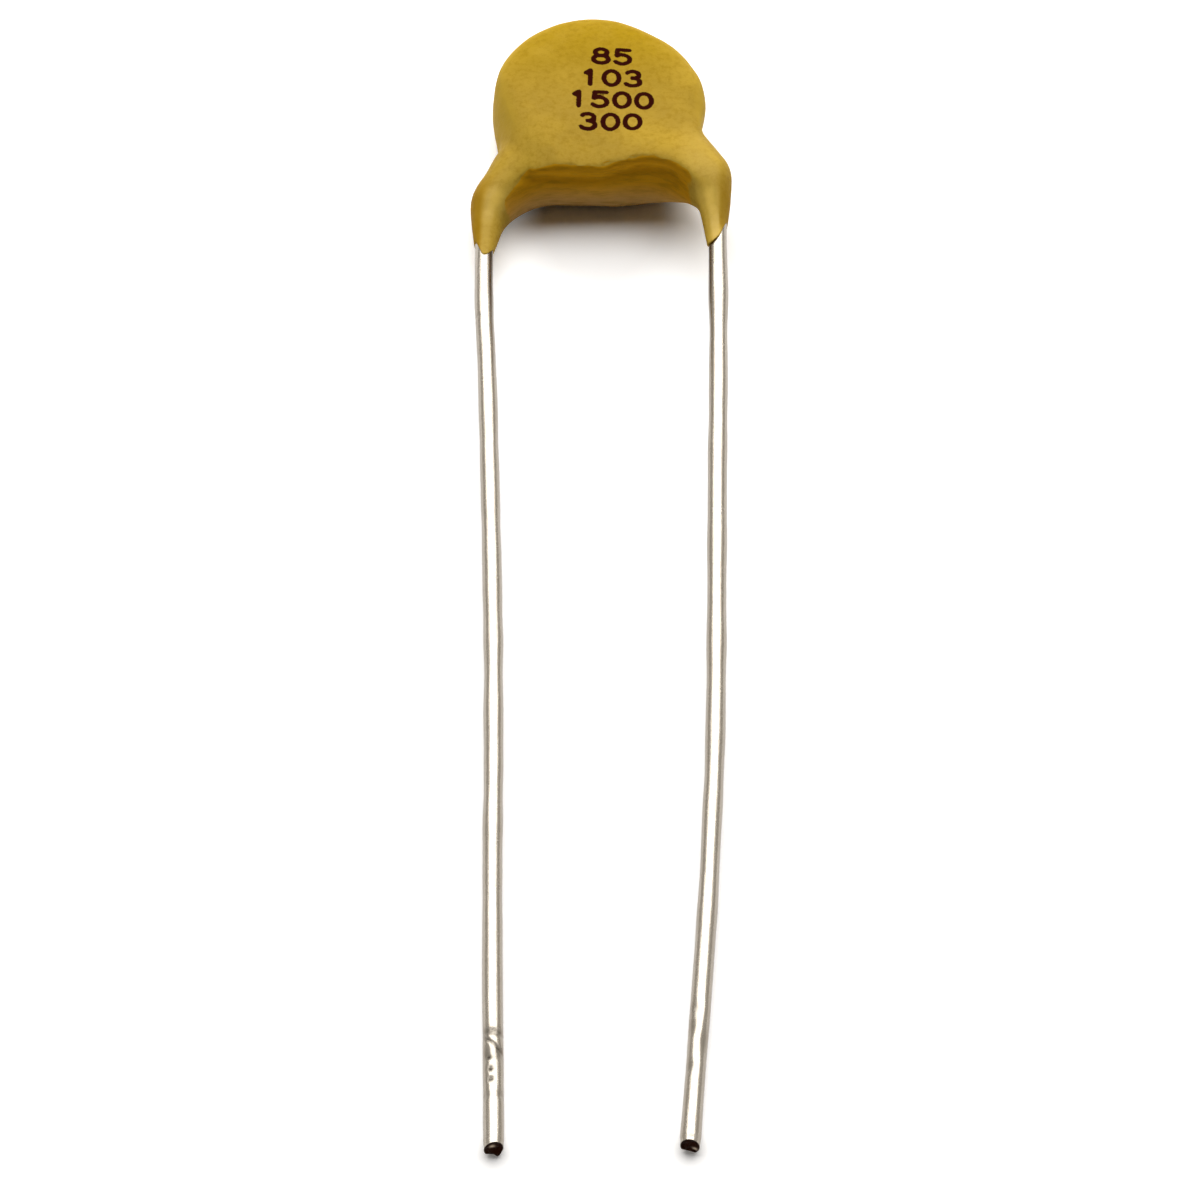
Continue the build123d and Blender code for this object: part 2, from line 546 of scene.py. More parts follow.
@dataclass(frozen=True)
class EpoxyFinish:
    """Satin dipped epoxy: mottled mustard, fine grain, dark print ink, and painted highlights and
    shade by its marks.
    """

    face: Colour = paint(167, 136, 50)
    far: Colour = paint(169, 136, 22)
    pale: Colour = paint(184, 151, 52)
    # crest: colour of a painted highlight on the ridges of shoulders and legs
    crest: Colour = paint(234, 198, 92)
    deep: Colour = paint(140, 104, 8)
    # edge: colour of painted shade on the steep outer sides of the legs
    edge: Colour = paint(154, 113, 2)
    # shade, shade_low: painted shade of the front wall, paler towards its foot
    shade: Colour = paint(196, 140, 14)
    shade_low: Colour = paint(190, 150, 92)
    ink: Colour = paint(46, 6, 0)
    clouds: Grain = Grain(0.55, 3.0, 0.55)
    mottle: Grain = Grain(5.5, 4.0, 0.65)
    grain: Grain = Grain(17.0, 3.0, 0.7)
    layers: Grain = Grain(1.7, 4.0, 0.65, (0.8, 1.0, 4.0))
    bleed: Grain = Grain(22.0, 2.0)
    swell: Grain = Grain(2.2, 2.0)
    far_reach: Pair = (16.5, 21.0)
    pale_clouds: Wash = Wash(0.4, 0.75, 0.7, pale)
    deep_mottle: Wash = Wash(0.42, 0.7, 0.4, deep)
    pale_grain: Wash = Wash(0.5, 0.75, 0.3, pale)
    deep_layers: Wash = Wash(0.42, 0.68, 0.45, deep)
    rim_light_amount: float = 0.9
    steep_amount: float = 0.8
    crest_even: float = 0.55
    crest_clouds: float = 0.9
    wall_ragged: float = 0.3
    wall_edge: Pair = (0.35, 0.6)
    wall_amount: float = 0.9
    shade_rise: Pair = (0.4, 1.6)
    ink_bleed: float = 0.05
    ink_edge: Pair = (-0.012, 0.014)
    ink_wear: Pair = (0.66, 0.82)
    ink_worn: float = 0.35
    rough: float = 0.46
    rough_mottle: float = 0.16
    rough_ink: float = 0.1
    swell_depth: float = 0.02
    grain_depth: float = 0.012
    depth_shares: Pair = (0.6, 0.4)
    specular: float = 0.01
    coat_weight: float = 0.45
    coat_rough: float = 0.25

    def material(self) -> bpy.types.Material:
        """Lay the mottled colours, the painted light and shade of the marks, and the ink over each
        other.

        Returns:
            The material.
        """
        bench = Bench.new("dipped_epoxy")
        mm = bench.places()
        clouds = bench.noise(mm, self.clouds)
        mottle = bench.noise(mm, self.mottle)
        grain = bench.noise(mm, self.grain)

        colour = bench.blend(bench.axis(mm, "Y").step(*self.far_reach), self.face, self.far)
        colour = self.pale_clouds.over(colour, clouds)
        colour = self.deep_mottle.over(colour, mottle)
        colour = self.pale_grain.over(colour, grain)
        # Painted light: the rim is lightened towards the pale colour, against its shading
        colour = bench.blend(bench.attribute(Mark.RIM_LIGHT) * self.rim_light_amount, colour, self.pale)
        # Painted shade: the steep outer sides of the legs are darkened
        colour = bench.blend(bench.attribute(Mark.STEEP_SHADE) * self.steep_amount, colour, self.edge)
        # Painted highlight on the crests; the same mark also weights the real coat gloss
        crest = bench.attribute(Mark.CREST_HIGHLIGHT)
        lit = crest * (self.crest_even + clouds * self.crest_clouds)
        colour = bench.blend(lit, colour, self.crest)

        # Painted shade on the front wall: a shaded tint with a ragged edge, paler towards its foot
        wall = bench.attribute(Mark.CROTCH_SHADE) + (mottle - 0.5) * self.wall_ragged
        height = bench.axis(mm, "Z").step(*self.shade_rise)
        shade = bench.blend(height, self.shade_low, self.shade)
        shade = self.deep_layers.over(shade, bench.noise(mm, self.layers))
        colour = bench.blend(wall.step(*self.wall_edge) * self.wall_amount, colour, shade)

        bleed = (bench.noise(mm, self.bleed) - 0.5) * self.ink_bleed
        inked = (bench.attribute(Mark.PRINT) + bleed).step(*self.ink_edge)
        worn = inked * (1 - grain.step(*self.ink_wear) * self.ink_worn)
        colour = bench.blend(worn, colour, self.ink)

        coarse, fine = self.depth_shares
        normal = bench.bump(bench.noise(mm, self.swell), self.swell_depth)
        normal = bench.bump(mottle * coarse + grain * fine, self.grain_depth, normal)
        rough = self.rough + (mottle - 0.5) * self.rough_mottle + inked * self.rough_ink
        return bench.finish(
            {
                "Base Color": colour,
                "Roughness": rough,
                "Normal": normal,
                "Specular IOR Level": self.specular,
                "Coat Weight": crest * self.coat_weight,
                "Coat Roughness": self.coat_rough,
            }
        )


@dataclass(frozen=True)
class WireFinish:
    """Tinned wire: bright drawn metal, faint streaks, dull specks, painted shade on flanks and
    dents, dark cut ends.
    """

    tin: Colour = paint(174, 167, 156)
    dull: Colour = paint(150, 140, 126)
    sheared: Colour = paint(30, 12, 5)
    glint: Colour = paint(176, 160, 140)
    # painted shade on the lower flanks
    painted_flank_shade: Colour = paint(122, 112, 100)
    # painted shade in the dents, where they break the highlight
    painted_dent_shade: Colour = paint(52, 46, 38)
    streaks: Grain = Grain(1.0, 3.0, 0.6, (14.0, 0.5, 14.0))
    specks: Grain = Grain(6.0, 3.0, 0.6)
    patches: Grain = Grain(7.0, 3.0, 0.7)
    pits: Grain = Grain(9.0, 3.0, 0.6)
    streak_edge: Pair = (0.35, 0.75)
    speck_edge: Pair = (0.62, 0.75)
    patch_edge: Pair = (0.4, 0.6)
    streak_dull: float = 0.45
    speck_dull: float = 0.25
    scrape_even: float = 0.7
    scrape_patches: float = 0.3
    flank_amount: float = 0.65
    rough: float = 0.22
    rough_marks: float = 0.1
    rough_cut: float = 0.25
    streak_depth: float = 0.003
    pit_depth: float = 0.006
    pits_cut: float = 6.0
    pits_even: float = 0.4

    def material(self) -> bpy.types.Material:
        """Dull the tin by streaks, specks and scrapes, paint shade on the dents and lower flanks,
        and darken the cut.

        Returns:
            The material.
        """
        bench = Bench.new("tinned_wire")
        mm = bench.places()
        streaks = bench.noise(mm, self.streaks)
        specks = bench.noise(mm, self.specks).step(*self.speck_edge)
        patches = bench.noise(mm, self.patches).step(*self.patch_edge)
        cut = bench.attribute(Mark.CUT)
        spread = self.scrape_even + patches * self.scrape_patches
        scraped_and_shaded = bench.attribute(Mark.SCRAPED_AND_SHADED) * spread

        dulled = streaks.step(*self.streak_edge) * self.streak_dull + specks * self.speck_dull
        colour = bench.blend(dulled, self.tin, self.dull)
        # Painted shade where the dents break the highlight; the scrapes also roughen and pit
        colour = bench.blend(scraped_and_shaded, colour, self.painted_dent_shade)
        # Painted shade on the lower flanks
        colour = bench.blend(bench.attribute(Mark.FLANK_SHADE) * self.flank_amount, colour, self.painted_flank_shade)
        broken = bench.blend(bench.attribute(Mark.GLINT), self.sheared, self.glint)
        colour = bench.blend(cut, colour, broken)

        rough = self.rough + streaks * self.rough_marks + specks * self.rough_marks
        rough = rough + scraped_and_shaded * self.rough_marks + cut * self.rough_cut
        normal = bench.bump(streaks, self.streak_depth)
        pits = bench.noise(mm, self.pits) * (cut * self.pits_cut + scraped_and_shaded + self.pits_even)
        normal = bench.bump(pits, self.pit_depth, normal)
        inputs = {"Base Color": colour, "Metallic": 1.0, "Roughness": rough, "Normal": normal}
        return bench.finish(inputs)


@dataclass(frozen=True)
class CoreFinish:
    """A plain inner finish with fine grain: fired ceramic, silver film or solder."""

    name: str
    light: Colour
    dark: Colour
    metallic: float
    rough: float
    grain: Grain
    grain_edge: Pair = (0.35, 0.65)
    rough_grain: float = 0.2
    grain_depth: float = 0.01

    def material(self) -> bpy.types.Material:
        """Speckle the light colour with the dark one.

        Returns:
            The material.
        """
        bench = Bench.new(self.name)
        speckle = bench.noise(bench.places(), self.grain)
        return bench.finish(
            {
                "Base Color": bench.blend(speckle.step(*self.grain_edge), self.light, self.dark),
                "Metallic": self.metallic,
                "Roughness": self.rough + (speckle - 0.5) * self.rough_grain,
                "Normal": bench.bump(speckle, self.grain_depth),
            }
        )


@dataclass(frozen=True)
class Rest:
    """Sizes that body and leads share, and how the body lies on the shoulder of the lower lead."""

    body_y: float = 18.075
    coat_half: float = 1.2
    coat_radius: float = 3.55
    coat_reach: float = 6.0
    shoulder_rise: float = 1.44
    half_pitch: float = 3.75
    lead_offset: float = 0.67
    lead_exit_offset: float = 0.5
    rest_share: float = 0.63
    rest_lift: float = 0.007

    def side(self, upper: bool) -> Side:
        """The plane of the disc, seen from one of its sides.

        Args:
            upper: Whether it is the side that faces up.

        Returns:
            The plane; the lower one is the upper one after half a turn about the length.
        """
        reach = self.rest_share * self.coat_radius
        rise = self.shoulder_rise + self.rest_lift - self.coat_half
        roll = math.atan2(rise, self.half_pitch + reach)
        height = self.coat_half * math.cos(roll) + reach * math.sin(roll)
        across = np.array([math.cos(roll), 0.0, -math.sin(roll)])
        outward = np.array([math.sin(roll), 0.0, math.cos(roll)])
        turn = 1 if upper else -1
        return Side(np.array([0.0, self.body_y, height]), turn * across, turn * outward)


@dataclass(frozen=True)
class Print:
    """Plain numbers in rounded strokes on the upper face, as depths that the coating carries."""

    rows: tuple[str, ...] = ("85", "103", "1500", "300")
    middle: Pair = (0.3, -0.2)
    height: float = 0.66
    width: float = 0.5
    spacing: float = 0.22
    row_pitch: float = 1.0
    stroke: float = 0.17
    tilt_deg: float = -1.0
    unmarked: float = -1.0
    bow_points: int = 19

    def bow(self, centre: Pair, radii: Pair, start: float, end: float) -> np.ndarray:
        """Points on part of an ellipse in the cell of a digit, from one angle to another."""
        turn = np.radians(np.linspace(start, end, self.bow_points))[:, None]
        return centre + radii * np.concatenate([np.cos(turn), np.sin(turn)], axis=1)

    def digit(self, name: str) -> list[np.ndarray]:
        """Strokes of one digit in a cell one unit wide and high.

        Args:
            name: One of the digits 0, 1, 3, 5 and 8.

        Returns:
            Polylines in the cell.
        """
        bow = self.bow
        shapes = {
            "0": [bow((0.5, 0.5), (0.5, 0.5), 0, 360)],
            "1": [np.array([[0.25, 0.8], [0.55, 1.0], [0.55, 0.0]])],
            "3": [
                bow((0.45, 0.76), (0.42, 0.24), 150, -90),
                bow((0.45, 0.27), (0.5, 0.27), 90, -150),
            ],
            "5": [
                np.array([[0.92, 1.0], [0.15, 1.0], [0.1, 0.55]]),
                np.concatenate([[[0.1, 0.55]], bow((0.45, 0.32), (0.52, 0.32), 110, -145)]),
            ],
            "8": [bow((0.5, 0.76), (0.4, 0.24), 0, 360), bow((0.5, 0.27), (0.5, 0.27), 0, 360)],
        }
        return shapes[name]

    def segments(self) -> np.ndarray:
        """Lay the digits out in rows, turned a little about the middle of the print.

        Returns:
            Starts and ends of all straight bits of the strokes, in millimetres on the face.
        """
        runs = []
        top = (len(self.rows) - 1) / 2 * self.row_pitch
        advance = self.width + self.spacing
        for number, row in enumerate(self.rows):
            left = -(len(row) * advance - self.spacing) / 2
            for place, name in enumerate(row):
                corner = (left + place * advance, top - number * self.row_pitch)
                for stroke in self.digit(name):
                    line = (stroke - [0, 0.5]) * [self.width, self.height] + corner
                    runs.append(np.stack([line[:-1], line[1:]], axis=1))
        turn = math.radians(self.tilt_deg)
        spin = np.array([[math.cos(turn), math.sin(turn)], [-math.sin(turn), math.cos(turn)]])
        return np.concatenate(runs) @ spin + self.middle

    def depths(self, local: np.ndarray) -> np.ndarray:
        """How far inside a stroke each point of the coating lies.

        The depth is half the stroke's width less the distance to the nearest straight bit, and only
        points on the upper face near the print are measured.

        Args:
            local: Points of the coating in the axes of the upper side.

        Returns:
            Depth in millimetres, below zero outside the strokes.
        """
        depths = np.full(local.shape[:-1], self.unmarked)
        lines = self.segments()
        low = lines.min(axis=(0, 1)) - self.stroke * 2
        high = lines.max(axis=(0, 1)) + self.stroke * 2
        flat = local[..., :2]
        near = (local[..., 2] > 0) & (flat > low).all(axis=-1) & (flat < high).all(axis=-1)
        starts = lines[:, 0]
        runs = lines[:, 1] - starts
        gaps = flat[near][:, None] - starts
        shares = np.clip((gaps * runs).sum(-1) / (runs * runs).sum(-1), 0, 1)
        distance = np.linalg.norm(gaps - shares[..., None] * runs, axis=-1).min(axis=1)
        depths[near] = self.stroke / 2 - distance
        return depths


@dataclass(frozen=True)
class EndSlant:
    """Edge of the coating on a lead: how far it is drawn back beside the wire and runs on above."""

    back: float
    onward: float
    up_weight: float
    out_weight: float
    both_sides: bool
    power: float = 1.3

    def move(self, outer: np.ndarray, up: np.ndarray) -> np.ndarray:
        """Way back along the leg: a power of the outward share less a square of the upward one.

        Args:
            outer: Outward share of the direction from the leg's middle.
            up: Upward share of it.

        Returns:
            The way of each point.
        """
        sideways = np.abs(outer) if self.both_sides else np.clip(outer, 0, 1)
        top = np.clip(self.up_weight * up - self.out_weight * outer, 0, 1)
        return self.back * sideways**self.power - self.onward * top**2


@dataclass(frozen=True)
class Dip:
    """Chance unevenness of the dipped skin: front edge, flat spots, slanted ends and swelling."""

    # Front edge of the face: lean by place across, and the wall below it
    brow_line: tuple[Pair, ...] = (
        (-2.9, 0.0), (-2.3, 0.03), (-1.8, -0.09), (-1.3, -0.18), (-0.7, -0.19), (0.0, -0.2),
        (0.7, 0.09), (1.3, 0.26), (1.8, 0.31), (2.3, 0.27), (3.0, 0.09),
    )
    brow_forward: float = 0.4
    brow_upward: float = 0.72
    brow_height: Ramp = Ramp(0.35, 1.5)
    brow_place: Bell = Bell(14.6, 1.3)
    wall_facing: Ramp = Ramp(0.15, 0.5)
    wall_span: Ramp = Ramp(3.4, -1.2)
    groove: Bell = Bell(1.9, 0.22, 0.12)
    lift: Ramp = Ramp(0.85, -0.85, 0.2)
    lift_start: Ramp = Ramp(0.3, 1.4)
    lift_end: Ramp = Ramp(2.7, -0.6)
    ragged: Waves = Waves(0.035, (0.25, 0.9), 24, 14, (1.0, 0.3, 0.3))
    ragged_facing: Bell = Bell(-0.5, 0.3)
    ragged_span: Ramp = Ramp(3.2, -0.8)
    ragged_height: Ramp = Ramp(1.8, 0.3)
    ragged_place: Ramp = Ramp(15.4, -0.5)

    # Far right of the disc by angle, and left shoulder
    flat_near: Ramp = Ramp(-36.0, 20.0, 0.1)
    flat_far: Ramp = Ramp(3.0, 24.0, 0.09)
    flat_end: Ramp = Ramp(91.0, -38.0)
    flat_reach: Ramp = Ramp(1.5, 1.8)
    bulge: Bell = Bell(100.0, 24.0, 0.035)
    shoulder_place: Bell = Bell(15.0, 0.8, 0.11)
    shoulder_span: Ramp = Ramp(-3.0, -0.8)

    # Ends on the leads, and swelling away from the ends and the floor
    slant_reach: float = 0.16
    slant_left: EndSlant = EndSlant(0.36, 0.36, 0.9, 0.4, True)
    slant_right: EndSlant = EndSlant(0.6, 0.25, 0.6, 0.7, False)
    swell: Waves = Waves(0.01, (2.5, 5.0), 24, 11)
    dimples: Waves = Waves(0.004, (0.5, 1.2), 48, 12)
    calm_legs: Ramp = Ramp(0.02, 0.16)
    calm_floor: Ramp = Ramp(0.08, 0.5)

    def front(self, grid: np.ndarray) -> np.ndarray:
        """Make the front edge of the face wavy and ragged, and hollow the wall below it.

        The edge moves forwards and up by a line over the width; below it the wall goes in along a
        groove and at its foot on the right, and fine waves fray the edge itself.

        Args:
            grid: Rings in the row frame.

        Returns:
            The move of each point.
        """
        facing = normals(grid)[..., 1]
        x, y, z = np.moveaxis(grid, -1, 0)
        width = np.abs(x)
        places, leans = np.array(self.brow_line).T
        lean = np.interp(x, places, leans) * self.brow_height(z) * self.brow_place(y)
        wall = self.wall_facing(-facing) * self.wall_span(width)
        under = self.groove(z) + self.lift(z) * self.lift_start(x) * self.lift_end(x)
        frayed = self.ragged_facing(facing) * self.ragged_span(width)
        frayed = frayed * self.ragged_height(z) * self.ragged_place(y)
        move = np.zeros_like(grid)
        move[..., 1] = self.brow_forward * lean + under * wall + self.ragged.at(grid) * frayed
        move[..., 2] = self.brow_upward * lean
        return move

    def flattening(self, grid: np.ndarray, middle: Pair) -> np.ndarray:
        """Draw in the far right of the disc, which is less round, and the left shoulder.

        Points of the disc move towards its middle by an amount that rises and falls smoothly with
        their angle round it; those of the shoulder move inwards by a bell along the length.

        Args:
            grid: Rings in the row frame.
            middle: Middle of the disc in plan.

        Returns:
            The move of each point.
        """
        out = grid[..., :2] - middle
        reach = np.linalg.norm(out, axis=-1)
        angle = np.degrees(np.arctan2(out[..., 1], out[..., 0]))
        amount = (self.flat_near(angle) + self.flat_far(angle)) * self.flat_end(angle)
        amount = (amount - self.bulge(angle)) * self.flat_reach(reach)
        move = np.zeros_like(grid)
        move[..., :2] = -out * (amount / np.maximum(reach, TINY))[..., None]
        move[..., 0] += self.shoulder_place(grid[..., 1]) * self.shoulder_span(grid[..., 0])
        return move

    def end_slants(self, grid: np.ndarray, leg_shares: np.ndarray) -> np.ndarray:
        """Draw the edge of the coating back along the side of each leg, so that it ends at a slant.

        The move is greatest at the end ring and fades with the square of the way up the leg.

        Args:
            grid: Rings in the row frame, from the left leg to the right one.
            leg_shares: Share of the outer rail at each ring.

        Returns:
            The move of each point.
        """
        fade = np.clip(1 - leg_shares / self.slant_reach, 0, 1) ** 2
        spoke = grid - grid.mean(axis=1, keepdims=True)
        x, z = np.moveaxis(unit(spoke[..., [0, 2]]), -1, 0)
        left = np.arange(len(grid))[:, None] < len(grid) / 2
        back = np.where(left, self.slant_left.move(-x, z), self.slant_right.move(x, z))
        move = np.zeros_like(grid)
        move[..., 1] = back * fade[:, None]
        return move

    def swelling(self, grid: np.ndarray, leg_shares: np.ndarray) -> np.ndarray:
        """Swell the skin along its normals by broad and fine waves, less so at its ends and foot.

        Args:
            grid: Rings in the row frame.
            leg_shares: Share of the outer rail at each ring.

        Returns:
            The move of each point.
        """
        calm = self.calm_legs(leg_shares)[:, None] * self.calm_floor(grid[..., 2])
        swell = self.swell.at(grid) + self.dimples.at(grid)
        return normals(grid) * (calm * swell)[..., None]


@dataclass(frozen=True)
class CoatMarks:
    """Where painted shade goes on the front wall and steep outer sides, painted highlight on
    crests, painted light on the rim.
    """

    # A slant is a place along y plus this share of the height
    slope: float = 0.79
    wall_left: Pair = (15.33, -2.93)
    wall_lean: float = 0.61
    wall_limit: float = -3.15
    wall_left_edge: Ramp = Ramp(-0.12, 0.24)
    wall_right_edge: Ramp = Ramp(3.25, -0.5)
    wall_place: Ramp = Ramp(15.6, -0.6)
    wall_facing: Ramp = Ramp(0.3, 0.5)
    right_half: Ramp = Ramp(0.0, 1.0)
    bend: Bell = Bell(15.1, 0.6)
    bend_flat: float = 0.06
    bend_out: float = 0.34
    ridge: Ramp = Ramp(0.2, 0.5, 0.5)
    ridge_top: Ramp = Ramp(0.78, 0.2, 0.5)
    ridge_span: Ramp = Ramp(2.2, 1.0)
    ridge_place: Ramp = Ramp(16.8, -1.2)
    ridge_side: Ramp = Ramp(0.3, 0.35, 0.8)
    leg: Ramp = Ramp(15.8, -0.7)
    leg_low: Ramp = Ramp(14.6, -0.8)
    crest: float = 0.1
    crest_right: float = 0.08
    crest_leg: float = 0.33
    crest_bend: float = 0.2
    crest_low: float = 0.26
    steep_place: Ramp = Ramp(16.5, -1.5)
    steep_facing: Ramp = Ramp(0.1, 0.5)
    steep_right: float = 0.4
    rim_facing: Ramp = Ramp(0.25, 0.5)
    rim_place: Ramp = Ramp(15.6, 1.2)

    def values(self, grid: np.ndarray, middle: Pair) -> dict[Mark, np.ndarray]:
        """Work out the marks as products of smooth steps over place and facing.

        Args:
            grid: Rings in the row frame.
            middle: Middle of the disc in plan.

        Returns:
            Numbers from 0 to 1 for each point, by mark.
        """
        facing = normals(grid)
        x, y, z = np.moveaxis(grid, -1, 0)
        slant = y + self.slope * z
        right = self.right_half(x)
        outward = facing[..., 0] * np.sign(x)

        place, left_end = self.wall_left
        left_end = np.maximum(left_end + self.wall_lean * (slant - place), self.wall_limit)
        wall = self.wall_right_edge(x) * self.wall_left_edge(x - left_end)
        wall = wall * self.wall_place(y) * self.wall_facing(-facing[..., 1])

        bend = self.bend(slant)
        upward = facing[..., 2] * (1 - self.bend_flat * bend) - self.bend_out * bend * outward
        ridge = self.ridge(upward) + self.ridge_top(upward)
        ridge = ridge * self.ridge_span(np.abs(x)) * self.ridge_place(y)
        ridge = ridge * (1 - self.ridge_side(outward))
        low = self.leg_low(slant) * (1 - right)
        leg = self.leg(slant) * (self.crest_leg + self.crest_bend * bend - self.crest_low * low)

        steep = self.steep_place(slant) * self.steep_facing(outward)
        out = unit(grid[..., :2] - middle)
        rim = self.rim_facing((facing[..., :2] * out).sum(axis=-1)) * self.rim_place(y)
        return {
            Mark.CROTCH_SHADE: wall,
            Mark.CREST_HIGHLIGHT: ridge * (self.crest + self.crest_right * right + leg),
            Mark.STEEP_SHADE: steep * (1 - self.steep_right * right),
            Mark.RIM_LIGHT: rim,
        }


@dataclass(frozen=True)
class Coating:
    """The dipped coating: disc, shoulders over the lead bends, and legs that thin out on leads."""

    rest: Rest = Rest()
    finish: EpoxyFinish = EpoxyFinish()
    marking: Print = Print()
    dip: Dip = Dip()
    marks: CoatMarks = CoatMarks()
    coat_end_radius: float = 0.34
    coat_end_slant: float = 0.3
    shoulder_drop: float = 3.45
    shoulder_overhang: float = 0.52
    shoulder_fall: float = 0.1
    shoulder_round: float = 1.5
    notch_angle: float = 10
    notch_run: float = 1.1
    notch_round: float = 0.9
    leg_overhang: float = 0.8
    crotch_round: float = 1.9
    front_round: float = 1.1
    shoulder_shares: Ramp = Ramp(0, 0.24)
    top_shares: Ramp = Ramp(0.22, 0.3)
    bottom_shares: Ramp = Ramp(0.1, 0.5)
    rim_shares: Ramp = Ramp(0.4, 0.22)
    front_shares: Ramp = Ramp(0.16, 0.34)
    fan_power: float = 1.7
    front_power: float = 4
    round_share: float = 0.5523
    rim_side_share: float = 0.98
    rim_face_share: float = 0.99
    front_share: float = 0.95
    brow_power: float = 9.0
    lip_further: Pair = (0.05, 0.03)
    lip_drawn: Pair = (0.8, 0.93)
    stations: int = 165
    station_crowding: float = 0.25
    quarter_points: tuple[int, ...] = (100, 56, 44, 60)
    quarter_crowding: float = 0.65
    disc_points: int = 300
    crotch_points: int = 200

    @property
    def middle(self) -> Pair:
        """Middle of the disc in plan."""
        return (0.0, self.rest.body_y)

    def outer_rail(self) -> Route:
        """Plan line round the outside of one half: rounded shoulder and notch, then the disc's arc.

        Returns:
            The line from the leg's end to the far point of the disc.
        """
        rest = self.rest
        turn = math.radians(self.notch_angle)
        notch_end = rest.coat_radius * np.array([math.cos(turn), -math.sin(turn)])
        notch = notch_end - self.notch_run * np.array([math.sin(turn), math.cos(turn)])
        leg = (rest.half_pitch + self.coat_end_radius, -rest.coat_reach)
        shoulder = (rest.half_pitch + self.shoulder_overhang, -self.shoulder_drop)
        radii = [self.shoulder_round, self.notch_round]
        start = Route.rounded([leg, shoulder, notch, notch_end], radii)
        sweep = np.linspace(-turn, math.pi / 2, self.disc_points)
        disc = rest.coat_radius * np.stack([np.cos(sweep), np.sin(sweep)], axis=-1)
        return Route(np.concatenate([start, disc[1:]]))

    def inner_rail(self) -> Route:
        """Plan line round the arch between the legs: two straight runs with a rounded corner.

        Returns:
            The line from the leg's end to the middle of the front.
        """
        rest = self.rest
        leg = (rest.half_pitch - self.coat_end_radius, -rest.coat_reach - self.coat_end_slant)
        crotch = (rest.half_pitch - self.leg_overhang, -rest.coat_radius)
        corners = [leg, crotch, (0.0, -rest.coat_radius)]
        return Route(Route.rounded(corners, [self.crotch_round], self.crotch_points))

    def half(self, shares: np.ndarray, upper: bool) -> np.ndarray:
        """Cross-sections of one half of the coating.

        A section stands on the line from the inner to the outer rail. Four cubic Bezier quarters
        join its rim, its upper crest, its front and its lower crest; the control points lie on the
        corner's two tangents, at a share of the way that is about 0.55 for a round corner and 1 for
        a square one.

        Args:
            shares: Shares of the outer rail's length.
            upper: Whether this side faces up.

        Returns:
            Rings of points in the row frame.
        """
        rest = self.rest
        outer = self.outer_rail().at(shares)
        inner = self.inner_rail().at(1 - (1 - shares) ** self.fan_power)
        across = unit(outer - inner)
        chord = np.linalg.norm(outer - inner, axis=1)
        power = self.front_power
        front = chord / 2 / (1 + (chord / 2 / self.front_round) ** power) ** (1 / power)
        rim = chord - front

        swelling = self.shoulder_shares(shares)
        lead_height = mix(rest.lead_exit_offset, rest.lead_offset, swelling)
        top = mix(rest.lead_exit_offset + self.coat_end_radius, rest.shoulder_rise, swelling)
        top += (rest.coat_half - rest.shoulder_rise) * self.top_shares(shares)
        bottom = mix(rest.lead_exit_offset - self.coat_end_radius, -self.shoulder_fall, swelling)
        bottom += (self.shoulder_fall - rest.coat_half) * self.bottom_shares(shares)

        rim_change = self.rim_shares(shares)
        rim_height = lead_height * (1 - rim_change)
        rim_side = mix(self.round_share, self.rim_side_share, rim_change)
        rim_face = mix(self.round_share, self.rim_face_share, rim_change)
        front_change = self.front_shares(shares)
        front_height = mix(lead_height, (top + bottom) / 2, front_change)
        square = mix(self.round_share, self.front_share, front_change)

        first, second = (top, bottom) if upper else (bottom, top)
        quarters = (
            (rim, rim_height, first, rim_side, rim_face),
            (-front, front_height, first, square, square),
            (-front, front_height, second, square, square),
            (rim, rim_height, second, rim_side, rim_face),
        )
        rings = []
        for number, (end, height, level, side_share, face_share) in enumerate(quarters):
            turn = mix(height, level, side_share)
            reach = np.stack([end, end, end * face_share, np.zeros_like(end)], axis=1)
            rise = np.stack([height, turn, level, level], axis=1)
            count = self.quarter_points[number]
            steps = np.arange(count) / count
            steps = (1 - steps if number % 2 else steps) ** self.quarter_crowding
            left = 1 - steps
            basis = np.stack([left**3, 3 * steps * left**2, 3 * steps**2 * left, steps**3])
            ring = np.stack([reach @ basis, rise @ basis], axis=-1)
            if number == 1:
                ring = self.sharpened(ring, end, height, level, front_change)
            rings.append(ring)
        ring = np.concatenate(rings, axis=1)
        plan = inner[:, None] + across[:, None] * (front[:, None, None] + ring[..., :1])
        return rest.side(upper).place(np.concatenate([plan, ring[..., 1:]], axis=-1))

    def sharpened(
        self,
        ring: np.ndarray,
        end: np.ndarray,
        height: np.ndarray,
        level: np.ndarray,
        amount: np.ndarray,
    ) -> np.ndarray:
        """Push a quarter of the sections out towards its corner, onto a superellipse of high power.

        With u and v the shares of the way to the front and to the crest, a point is scaled by
        (u^p + v^p)^(-1/p) about the inner corner of the quarter.

        Args:
            ring: Points of the quarter as distance along the section and height.
            end: Where the front of each section is.
            height: Height of the front.
            level: Height of the crest.
            amount: How far each section is sharpened, from 0 to 1.

        Returns:
            The sharpened points.
        """
        corner = np.stack([np.zeros_like(end), height], axis=-1)[:, None]
        arms = np.stack([end, level - height], axis=-1)[:, None]
        shares = np.clip(np.abs((ring - corner) / arms), TINY, None)
        scale = (shares**self.brow_power).sum(axis=-1) ** (-1 / self.brow_power)
        return corner + (ring - corner) * mix(1, scale, amount[:, None])[..., None]

